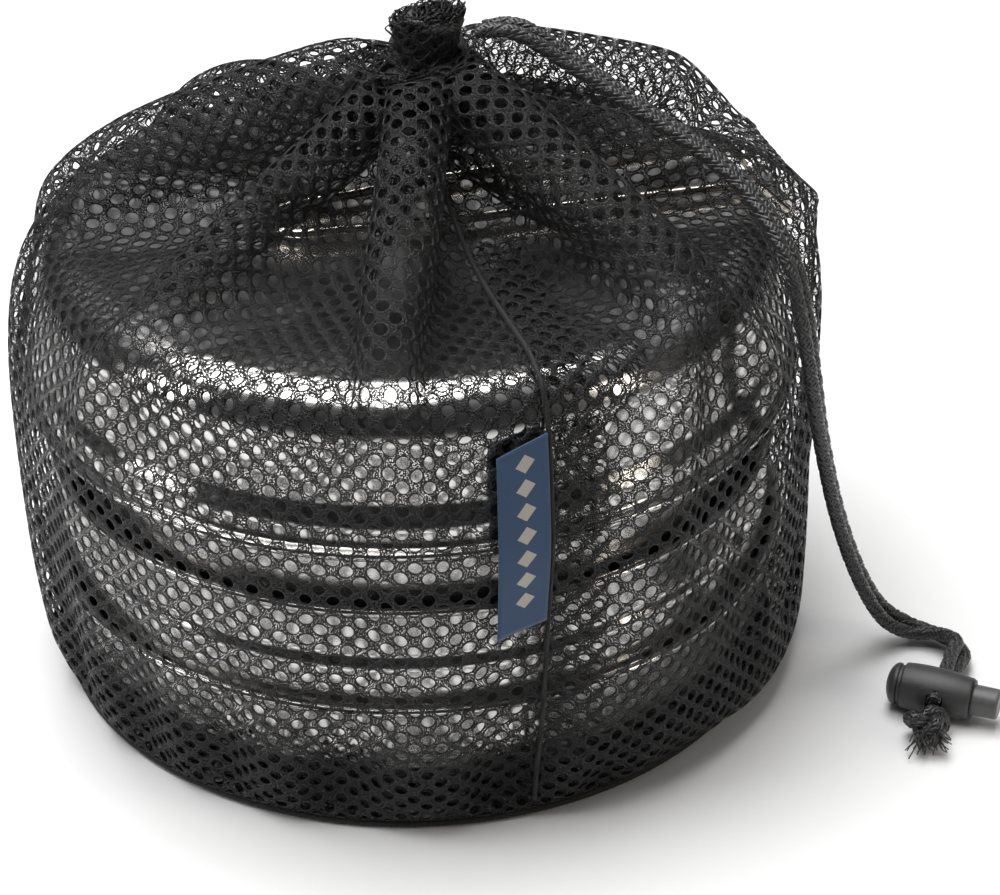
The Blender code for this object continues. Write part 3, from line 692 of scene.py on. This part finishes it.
# ---- draping the sack ---------------------------------------------------------------------
class Drape:
    """The sack's wall as a grid of points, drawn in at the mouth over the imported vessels."""

    def __init__(self):
        self.du, self.dv = CLOTH_ROUND / GRID_COLUMNS, CLOTH_TALL / GRID_ROWS
        angle = 2 * math.pi * np.arange(GRID_COLUMNS) / GRID_COLUMNS
        flat = np.arange(GRID_ROWS + 1) * self.dv
        wave = sum(size * np.sin(count * angle + phase) for count, size, phase in (
            (5, 0.009, 1.95), (3, 0.002, 0.7), (13, 0.0015, 1.0), (20, 0.001, 3.0)))
        grow = np.minimum(1, np.arange(GRID_ROWS + 1) / 20)
        radius = BASE_R + (OPEN_R - BASE_R) * np.clip(flat / 0.012, 0, 1)
        radius = radius[:, None] + wave * grow[:, None]
        height = np.clip(flat - 0.006, 0, None) + 0.003
        self.angle = angle
        self.x = np.stack([radius * np.cos(angle), radius * np.sin(angle),
                           np.repeat(height[:, None], GRID_COLUMNS, 1)], -1)
        shorter = 1 - TIGHT_FRONT * np.clip(np.cos(angle - FRONT), 0, 1) ** 0.7
        self.warp_rest = self.dv * shorter[:, None]
        self.base = self.x[0].copy()
        self.open_z = height[GRID_ROWS - HEM_ROWS]
        corners = np.array(PACK_OUTLINE)
        run = corners[1:] - corners[:-1]
        normal = np.stack([-run[:, 1], run[:, 0]], 1)
        self.edge_at = corners[:-1]
        self.edge_out = normal / np.linalg.norm(normal, axis=1)[:, None]
        self.before = self.x.copy()

    @staticmethod
    def correction(a, b, rest, stiffness, squeeze):
        away = b - a
        length = np.sqrt((away * away).sum(-1, keepdims=True)) + 1e-9
        error = (length - rest) / length
        return away * (0.5 * stiffness) * np.where(error < 0, error * squeeze, error)

    def weft(self, step, stiffness, squeeze=1.0):
        columns = np.arange(GRID_COLUMNS)
        for part in range(2):
            near = columns[(columns // step) % 2 == part]
            far = (near + step) % GRID_COLUMNS
            move = self.correction(self.x[1:, near], self.x[1:, far], self.du * step,
                                   stiffness, squeeze)
            self.x[1:, near] += move
            self.x[1:, far] -= move

    def warp(self, step, stiffness, squeeze=1.0):
        rows = np.arange(GRID_ROWS + 1 - step)
        for part in range(2):
            near = rows[(rows // step) % 2 == part]
            move = self.correction(self.x[near], self.x[near + step], self.warp_rest * step,
                                   stiffness, squeeze)
            self.x[near] += move
            self.x[near + step] -= move

    def bias(self, stiffness):
        rest = math.hypot(self.du, self.dv)
        for part in (0, 1):
            rows = np.arange(part, GRID_ROWS, 2)
            for shift in (-1, 1):
                far = np.roll(self.x[rows + 1], shift, axis=1)
                move = self.correction(self.x[rows], far, rest, stiffness, 1.0)
                self.x[rows] += move
                self.x[rows + 1] -= np.roll(move, -shift, axis=1)

    def draw_in(self, closed):
        """The drawcord: the hem's rows stay within an oval that shrinks and comes down.

        The hem's top edge slopes, highest on the side where the cord comes out.
        """
        reach = OPEN_R * (1 - closed) + NECK_R * closed
        hem = self.x[GRID_ROWS - HEM_ROWS :]
        middle = NECK_X * closed
        longer = 1 + (NECK_LONG - 1) * closed
        rise = np.arange(HEM_ROWS + 1)[:, None] / HEM_ROWS
        ruffle, edge_wave = 0.30, 0.0014
        flare = 1 + ruffle * closed * rise * np.sin(7 * self.angle)
        away = np.hypot((hem[..., 0] - middle) / longer, hem[..., 1]) / flare + 1e-9
        share = np.minimum(1, reach / away)
        hem[..., 0] = middle + (hem[..., 0] - middle) * share
        hem[..., 1] *= share
        height = self.open_z * (1 - closed) + NECK_Z * closed
        ragged = edge_wave * rise * np.sin(5 * self.angle + 1)
        level = height + rise * HEM_ROWS * self.dv * 0.9 + closed * ragged
        level = level + NECK_SLOPE * closed * (hem[..., 0] - middle)
        hem[..., 2] += (level - hem[..., 2]) * 0.3

    def touch(self):
        """Keeps the cloth off the vessels, the pan's handle and the floor, with friction."""
        x = self.x
        radius = np.hypot(x[..., 0], x[..., 1]) + 1e-9
        place = np.stack([radius, x[..., 2]], -1)
        depth = ((place[:, :, None] - self.edge_at) * self.edge_out).sum(-1)
        nearest = depth.argmax(-1)
        depth = np.take_along_axis(depth, nearest[..., None], -1)[..., 0]
        push = np.clip(CLEAR - depth, 0, 0.004)
        out = self.edge_out[nearest]
        x[..., 0] += push * out[..., 0] * x[..., 0] / radius
        x[..., 1] += push * out[..., 0] * x[..., 1] / radius
        x[..., 2] += push * out[..., 1]
        touching = push > 0
        x[touching] += (self.before[touching] - x[touching]) * 0.35
        c, s = math.cos(PAN_TURN), math.sin(PAN_TURN)
        along, across = x[..., 0] * c + x[..., 1] * s, x[..., 1] * c - x[..., 0] * s
        over_wire, past_hinge, hinge_z = 0.1150, 0.0930, 0.101
        on_wire = (along > -0.034) & (along < 0.085) & (np.abs(across) < 0.0165)
        x[..., 2] = np.where(on_wire, np.maximum(x[..., 2], over_wire), x[..., 2])
        level = np.abs(x[..., 2] - hinge_z) < 0.009
        on_hinge = (along > 0.060) & (np.abs(across) < 0.023) & level
        outward = np.where(on_hinge, np.maximum(past_hinge - along, 0), 0)
        x[..., 0] += outward * c
        x[..., 1] += outward * s
        x[..., 2] = np.maximum(x[..., 2], FLOOR_CLEAR)
        limit = LIMIT_R - 0.0010 * np.clip((0.060 - x[..., 2]) / 0.060, 0, 1)
        share = np.minimum(1, limit / radius)
        x[..., 0] *= share
        x[..., 1] *= share

    def run(self, steps, rounds):
        """Closes the mouth over the first steps and lets the cloth settle in the rest."""
        for step in range(steps):
            share = min(1.0, step / (steps * 0.62))
            closed = share * share * (3 - 2 * share)
            moved = (self.x - self.before) * 0.90
            self.before = self.x.copy()
            self.x += moved
            self.x[..., 2] -= 0.00006
            for turn in range(rounds):
                self.weft(1, 0.9, 0.8)
                self.warp(1, 0.9, 0.8)
                self.bias(0.15)
                self.weft(2, 0.15)
                self.warp(2, 0.15)
                self.weft(4, 0.06)
                self.warp(4, 0.04)
                self.draw_in(closed)
                self.x[0] = self.base
                if turn % 3 == 2:
                    self.touch()
        return self

    def smooth(self, rounds=2):
        """Takes out the grid's own jitter, keeping the folds."""
        for _ in range(rounds):
            near = (np.roll(self.x, 1, 1) + np.roll(self.x, -1, 1)) / 2
            above_below = (self.x[:-2] + self.x[2:]) / 2
            self.x[1:-1] = 0.5 * self.x[1:-1] + 0.25 * near[1:-1] + 0.25 * above_below
            self.before = self.x.copy()
            self.touch()
        return self

    def at(self, across, up, lift=0.0):
        """Points of the draped cloth at flat places, from a smooth surface through the grid."""
        u = np.asarray(across, float) / self.du
        v = np.clip(np.asarray(up, float) / self.dv, 0, GRID_ROWS - 1e-6)
        i, k = np.floor(v).astype(int), np.floor(u).astype(int)
        total = np.zeros((len(u), 3))
        for row, row_weight in enumerate(spline_weights(v - i)):
            line = np.clip(i + row - 1, 0, GRID_ROWS)
            for column, weight in enumerate(spline_weights(u - k)):
                point = self.x[line, (k + column - 1) % GRID_COLUMNS]
                total += point * (row_weight * weight)[:, None]
        if lift:
            total += self.out(u, v) * lift
        return total

    def out(self, u, v):
        """Outward normals at grid places."""
        i, k = np.clip(np.round(v).astype(int), 1, GRID_ROWS - 1), np.round(u).astype(int)
        across = self.x[i, (k + 1) % GRID_COLUMNS] - self.x[i, (k - 1) % GRID_COLUMNS]
        up = self.x[i + 1, k % GRID_COLUMNS] - self.x[i - 1, k % GRID_COLUMNS]
        normal = np.cross(across, up)
        return normal / (np.linalg.norm(normal, axis=1)[:, None] + 1e-12)


def spline_weights(t):
    """Catmull-Rom weights of four neighbours at t between the middle two."""
    return (0.5 * (-t + 2 * t**2 - t**3), 0.5 * (2 - 5 * t**2 + 3 * t**3),
            0.5 * (t + 4 * t**2 - 3 * t**3), 0.5 * (-t**2 + t**3))


# ---- the net ------------------------------------------------------------------------------
def net(columns, rows, spread):
    """Flat points and faces of a net: round holes in diamond cells, every second row shifted.

    columns and rows are ranges of holes; spread is the width of a cell.
    """
    j, i = np.meshgrid(np.arange(*rows), np.arange(*columns), indexing="ij")
    middle = np.stack([6 * i.ravel() + 3 * (j.ravel() % 2), 3 * j.ravel()], 1)
    edge = [(3 - k, k) for k in range(3)] + [(-k, 3 - k) for k in range(3)]
    edge += [(-x, -y) for x, y in edge]
    edge = np.array(edge)
    unit = np.array([spread / 6, HOLE_ROW / 3])
    corners = middle[:, None] + edge
    keys, index = np.unique(corners.reshape(-1, 2), axis=0, return_inverse=True)
    index = index.reshape(len(middle), 12)
    direction = np.arctan2(edge[:, 1] * unit[1], edge[:, 0] * unit[0])
    number = np.arange(len(middle))     # makes each hole a little uneven in its own way
    size = HOLE_R * (1 + 0.05 * np.sin(number * 12.9898)[:, None]
                     + 0.06 * np.sin(2 * direction + np.sin(number * 4.13)[:, None] * 3))
    ring = np.stack([size * np.cos(direction), size * np.sin(direction)], -1)
    holes = middle[:, None] * unit + ring
    points = np.concatenate([keys * unit, holes.reshape(-1, 2)])
    hole = len(keys) + np.arange(len(middle) * 12).reshape(-1, 12)
    following = np.roll(np.arange(12), -1)
    faces = np.stack([hole, index, index[:, following], hole[:, following]], -1)
    web = np.zeros((len(points), 2))
    web[: len(keys)] = 1
    return points, faces.reshape(-1, 4), web


def thickened(name, mesh, thick):
    """The mesh as a closed sheet of that thickness."""
    made = placed(name, mesh)
    step = made.modifiers.new("thick", "SOLIDIFY")
    step.thickness = thick
    step.offset = 0
    solid = evaluated(made)
    solid.name = name
    bpy.data.objects.remove(made)
    solid.shade_smooth()
    return solid


def flat_area(points, faces):
    """Area of the cut net, without its holes."""
    a, b, c, d = (points[faces[:, k]] for k in range(4))
    one, two = c - a, d - b
    return float(np.abs(one[:, 0] * two[:, 1] - one[:, 1] * two[:, 0]).sum() / 2)


def net_panel(name, cloth, columns, rows, look, replaced=(), lift=0.0, shift=(0, 0)):
    """A piece of net over the draped sack, declared as the gathered sheet that it is.

    lift moves it off the wall's own net, and shift slides it, in holes and rows.
    """
    spread = CLOTH_ROUND / HOLES_ROUND
    points, faces, web = net(columns, rows, spread)
    points += [shift[0] * spread, shift[1] * HOLE_ROW]
    points[:, 1] = np.clip(points[:, 1], 0, CLOTH_TALL)
    draped = cloth.at(points[:, 0], points[:, 1], lift)
    mesh = with_uv(with_uv(mesh_from(name, draped, faces), points), web, "web")
    made = piece(name, thickened(name, mesh, NET_THICK), look, "sack", replaced)
    wide = (columns[1] - columns[0] + 0.5) * spread
    tall = min(CLOTH_TALL, (rows[1] - rows[0] + 1) * HOLE_ROW)
    SHEETS.append((made, (wide, tall), flat_area(points, faces)))
    SOFT.append(made)


def base_panel(look):
    """The round base of the sack, cut from the same net."""
    spread = CLOTH_ROUND / HOLES_ROUND
    reach = NET_BASE_R
    count, rows = int(reach / spread) + 2, int(reach / HOLE_ROW) + 2
    points, faces, web = net((-count, count), (-rows, rows), spread)
    middle = points[faces].mean(1)
    faces = faces[np.hypot(middle[:, 0], middle[:, 1]) < reach]
    used, index = np.unique(faces, return_inverse=True)
    points, faces, web = points[used], index.reshape(-1, 4), web[used]
    share = np.minimum(1, reach / (np.hypot(points[:, 0], points[:, 1]) + 1e-9))
    points = points * share[:, None]
    flat = np.concatenate([points, np.full((len(points), 1), 0.0011)], 1)
    mesh = with_uv(with_uv(mesh_from("base_net", flat, faces), points), web, "web")
    made = piece("base_net", thickened("base_net", mesh, 0.0008), look, "sack",
                 ["bag_bottom"])
    SHEETS.append((made, (2 * reach, 2 * reach), flat_area(points, faces)))


def sack(cloth, net_black, binding):
    """Wall and top in panels, the seam allowance behind the side seam, seams and hem."""
    rows = int(CLOTH_TALL / HOLE_ROW) + 1
    panels = 6
    cuts = [round(HOLES_ROUND * k / panels) for k in range(panels + 1)]
    for k, (first, last) in enumerate(zip(cuts, cuts[1:])):
        net_panel(f"sack_net_{k + 1}", cloth, (first, last), (0, rows), net_black,
                  ["bag_wall"] if k == 0 else ())
    seam = int(SEAM_SHARE * HOLES_ROUND)
    net_panel("seam_allowance", cloth, (seam, seam + 2), (2, rows - 22), net_black,
              lift=-0.0008, shift=(0.45, 0.38))
    net_panel("base_allowance", cloth, (0, HOLES_ROUND), (1, 7), net_black,
              lift=-0.0008, shift=(0.38, 0.30))
    net_panel("hem_channel", cloth, (0, HOLES_ROUND), (rows - 8, rows), net_black,
              ["bag_hem"], lift=0.0007, shift=(0.3, 0.2))
    base_panel(net_black)
    side_seam(cloth, binding)
    reach = BASE_R - 0.0012
    ring = [(reach * math.cos(a), reach * math.sin(a), 0.0013)
            for a in np.linspace(0, 2 * math.pi, 300)]
    ring_mesh = joined("base_seam", [tube_arrays(ring, 0.0018, 0.0016, sides=10),
                                     *overlock(ring, 0.0009, 420)])
    piece("base_seam", ring_mesh, binding, "sack", ["bag_base_seam"])


def overlock(path, radius, turns):
    """A thread wound round a seam."""
    path = evenly(path, 0.0004)
    _, across, up = frames_along(path)
    angle = np.linspace(0, 2 * math.pi * turns, len(path))
    thread = path + (across * np.cos(angle)[:, None] + up * np.sin(angle)[:, None]) * radius
    return [tube_arrays(thread, 0.00030, 0.00030, sides=5)]


def side_seam(cloth, look):
    up = np.linspace(0.004, CLOTH_TALL - 0.016, 160)
    path = cloth.at(np.full(len(up), SEAM_SHARE * CLOTH_ROUND), up, 0.0006)
    path[:, 2] = np.maximum(path[:, 2], 0.0016)
    mesh = joined("side_seam", [tube_arrays(path, 0.0013, 0.0010, sides=8),
                                *overlock(path, 0.00072, 260)])
    SOFT.append(piece("side_seam", mesh, look, "sack", ["bag_side_seam"]))


def label(cloth, look):
    """The woven label: its right edge is caught in the seam, its left edge hangs lower."""
    columns, rows = 13, 41
    across, along = np.meshgrid(np.linspace(0, 1, columns), np.linspace(0, 1, rows))
    across, along = across.ravel(), along.ravel()
    low = flat_height(cloth, LABEL_LOW)
    flat_u = SEAM_SHARE * CLOTH_ROUND - 0.0006 - (1 - across) * LABEL_WIDE
    flat_v = low + LABEL_TALL * along - 0.0030 * (1 - across)
    points = cloth.at(flat_u, flat_v, 0.0013)
    points = points.reshape(rows, columns, 3)
    for _ in range(30):
        points[1:-1] = (points[:-2] + points[2:]) / 4 + points[1:-1] / 2
    points = points.reshape(-1, 3)
    radius = np.hypot(points[:, 0], points[:, 1])
    lowest = np.hypot(*cloth.at(flat_u, flat_v, 0.0009)[:, :2].T)
    share = np.maximum(1, lowest / radius)
    points[:, :2] *= share[:, None]
    k, i = np.meshgrid(np.arange(rows - 1), np.arange(columns - 1), indexing="ij")
    a = k * columns + i
    faces = np.stack([a, a + 1, a + columns + 1, a + columns], -1).reshape(-1, 4)
    flat = np.stack([across * LABEL_WIDE, along * LABEL_TALL], 1)
    mesh = with_uv(mesh_from("label", points, faces), flat)
    made = piece("label", thickened("label", mesh, 0.0005), look, "sack", ["bag_label"])
    SHEETS.append((made, (LABEL_WIDE, LABEL_TALL), None))
    SOFT.append(made)


def flat_height(cloth, height):
    """How far up the flat cloth the side seam reaches a height."""
    up = np.linspace(0.0, CLOTH_TALL * 0.7, 400)
    path = cloth.at(np.full(len(up), SEAM_SHARE * CLOTH_ROUND), up)
    return up[int(np.argmin(np.abs(path[:, 2] - height)))]


def hem_cord(look):
    """The drawcord's loop in the hem."""
    low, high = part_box("drawcord_in_hem")
    middle = (low + high) / 2
    radius = (high.x - low.x - CORD) / 2
    ring = [(middle.x + radius * math.cos(a), middle.y + radius * math.sin(a), middle.z)
            for a in np.linspace(0, 2 * math.pi, 60)]
    SOFT.append(piece("hem_cord", joined("hem_cord", braid(ring, 0.0027)), look, "sack",
                      ["drawcord_in_hem"]))


# ---- cord lock ----------------------------------------------------------------------------
def lock_matrix():
    return (Matrix.Translation(LOCK_AT) @ Matrix.Rotation(LOCK_TURN, 4, "Z")
            @ Matrix.Rotation(math.pi / 2, 4, "Y"))


def cut(made, cutter_mesh):
    """Cuts a solid out of a piece and leaves no modifier on it."""
    cutter = placed("cutter", cutter_mesh)
    step = made.modifiers.new("cut", "BOOLEAN")
    step.object = cutter
    result = evaluated(made)
    made.modifiers.remove(step)
    made.data = result
    bpy.data.objects.remove(cutter)


def slot_cutter(long, wide, tall, along):
    mesh = bpy.data.meshes.new("slot")
    bm = bmesh.new()
    bmesh.ops.create_cube(bm, size=1, matrix=Matrix.Translation(lock_point(along))
                          @ Matrix.Rotation(LOCK_TURN, 4, "Z")
                          @ Matrix.Diagonal((wide, long, tall, 1)))
    bmesh.ops.bevel(bm, geom=list(bm.edges), offset=wide * 0.3, segments=5, affect="EDGES")
    bm.to_mesh(mesh)
    bm.free()
    return mesh


HALF_LOCK = LOCK_LONG / 2
BORE_LOW = -HALF_LOCK + 0.0030              # floor of the barrel's bore
PLUNGER_FOOT = BORE_LOW + 0.0048
SLOT_LONG, SLOT_WIDE, SLOT_TALL = 0.0200, CORD + 0.0008, 2 * CORD + 0.0011


def lock_piece(name, outline, sides, look, body, node, cutters):
    """A turned piece of the cord lock with its cuts, smooth except at sharp edges."""
    mesh = turned(name, outline, sides)
    mesh.transform(lock_matrix())
    made = piece(name, mesh, look, body, [node])
    for cutter in cutters:
        cut(made, cutter)
    made.data.shade_smooth()
    made.data.set_sharp_from_angle(angle=math.radians(40))


def lock_barrel(look):
    """The barrel: swelling body, grip groove and domed end, with a bore and a slot."""
    half, groove = HALF_LOCK, LOCK_R * 0.80
    outline = [(0.0, half), (BUTTON_R + 0.0006, half), (BUTTON_R + 0.0010, half - 0.0001)]
    outline += arc(LOCK_R * 0.86 - 0.0008, half - 0.0010, 0.0008, 80, 10, 5)
    outline += [(LOCK_R * (1 - 0.14 * abs(t) ** 2.4), half * 0.86 * t)
                for t in np.linspace(0.96, -0.70, 26)]
    outline += [(groove + 0.0002, -half * 0.635), (groove, -half * 0.65), (groove, -half * 0.70),
                (groove + 0.0002, -half * 0.715), (LOCK_R * 0.87, -half * 0.73)]
    outline += [(LOCK_R * 0.87 * math.cos(a), -half * 0.76 - half * 0.24 * math.sin(a))
                for a in np.linspace(0, math.pi / 2, 12)[:-1]]
    outline += [(0.0, -half)]
    bore_r = BUTTON_R + 0.0002
    bore = turned("bore", [(0.0, half + 0.001), (bore_r, half + 0.001), (bore_r, BORE_LOW),
                           (0.0, BORE_LOW)], 72)
    bore.transform(lock_matrix())
    lock_piece("lock_body", outline, 72, look, "sack", "lock_barrel",
               [bore, slot_cutter(SLOT_LONG, SLOT_WIDE, SLOT_TALL, CORD_HOLE_X)])


def lock_plunger(look):
    """The button, whose slot is longer by its travel."""
    outer = HALF_LOCK + BUTTON_OUT
    outline = [(0.0, outer - 0.00015), (BUTTON_R * 0.55, outer - 0.00012), (BUTTON_R * 0.75, outer)]
    outline += arc(BUTTON_R - 0.0007, outer - 0.0007, 0.0007, 90, 0, 6)
    outline += [(BUTTON_R, PLUNGER_FOOT), (0.0, PLUNGER_FOOT)]
    slot = slot_cutter(SLOT_LONG, SLOT_WIDE + BUTTON_TRAVEL, SLOT_TALL,
                       CORD_HOLE_X + BUTTON_TRAVEL / 2)
    lock_piece("lock_plunger", outline, 64, look, "lock_plunger",
               "lock_button", [slot])


def lock_spring(look):
    """The coil between the bore's floor and the button, built at one length."""
    back, front = BORE_LOW + 0.0005, PLUNGER_FOOT - 0.0005
    coil_r = 0.0024
    turns = np.linspace(0, 2 * math.pi * 5, 180)
    coil = [lock_point(back + (front - back) * t / turns[-1], coil_r * math.cos(t),
                       coil_r * math.sin(t)) for t in turns]
    mesh = joined("spring_coil", [tube_arrays(coil, 0.0005, 0.0005, sides=8)])
    spring = piece("spring_coil", mesh, look, "sack", ["lock_spring"])
    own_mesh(spring)


def knot(look):
    """A tight overhand knot of both strands in front of the lock, with frayed ends."""
    low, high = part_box("cord_knot")
    middle = (low + high) / 2
    turns = []
    for k in range(91):
        t = 2 * math.pi * k / 90
        turns.append((middle.x + 0.00145 * (math.sin(t) + 2 * math.sin(2 * t)),
                      middle.y + 0.00105 * (math.cos(t) - 2 * math.cos(2 * t)),
                      middle.z + 0.0004 - 0.00165 * math.sin(3 * t)))
    tubes = braid(turns, 0.0029)
    rng = np.random.default_rng(7)
    for end in (-1, 1):
        root = np.array(middle) + [0.0016 * end, -0.0030, 0.0002]
        for _ in range(40):
            spread = rng.normal(0, 1, 3) * [0.0016, 0.0014, 0.0013]
            tip = root + [0.0009 * end, -0.0034, -0.0012] + spread
            tip[2] = max(tip[2], 0.0004)
            bend = (root + tip) / 2 + rng.normal(0, 0.0005, 3)
            bend[2] = max(bend[2], 0.0005)
            path = [tuple(p) for p in smooth_curve([root + rng.normal(0, 0.0004, 3), bend, tip],
                                                   8)]
            tubes.append(tube_arrays(path, 0.00032, 0.00024, sides=5))
    piece("knot", joined("knot", tubes), look, "sack", ["cord_knot"])


# ---- assembly -----------------------------------------------------------------------------
STRANDS, SHEETS, SOFT = [], [], []

camera()
YARN, STEEL, BRIGHT = yarn_look(), steel_look(), wire_look()
drawcord(YARN)
studio()

vessels(STEEL)
pan_handle(BRIGHT)
for pot_name in ("large_pot", "small_pot"):
    pot_wire(pot_name, "right", 1, BRIGHT)
    pot_wire(pot_name, "left", -1, BRIGHT)
for bracket_name in ("large_pot_bracket", "small_pot_bracket", "fry_pan_bracket"):
    bracket_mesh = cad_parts[bracket_name].data
    bracket_mesh.materials.clear()
    bracket_mesh.materials.append(STEEL)

STEPS, ROUNDS = ((260, 14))
CLOTH = Drape().run(STEPS, ROUNDS).smooth()
NET = net_look("knit_net", 0.0045)
sack(CLOTH, NET, binding_look())
label(CLOTH, label_look())
hem_cord(YARN)
lock_barrel(plastic_look("lock_plastic", 0.036, 0.6, 0.34))
lock_plunger(plastic_look("button_plastic", 0.085, 0.3, 0.32))
lock_spring(BRIGHT)
knot(YARN)

for soft in SOFT:
    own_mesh(soft)
for strand, _, _ in STRANDS:
    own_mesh(strand)
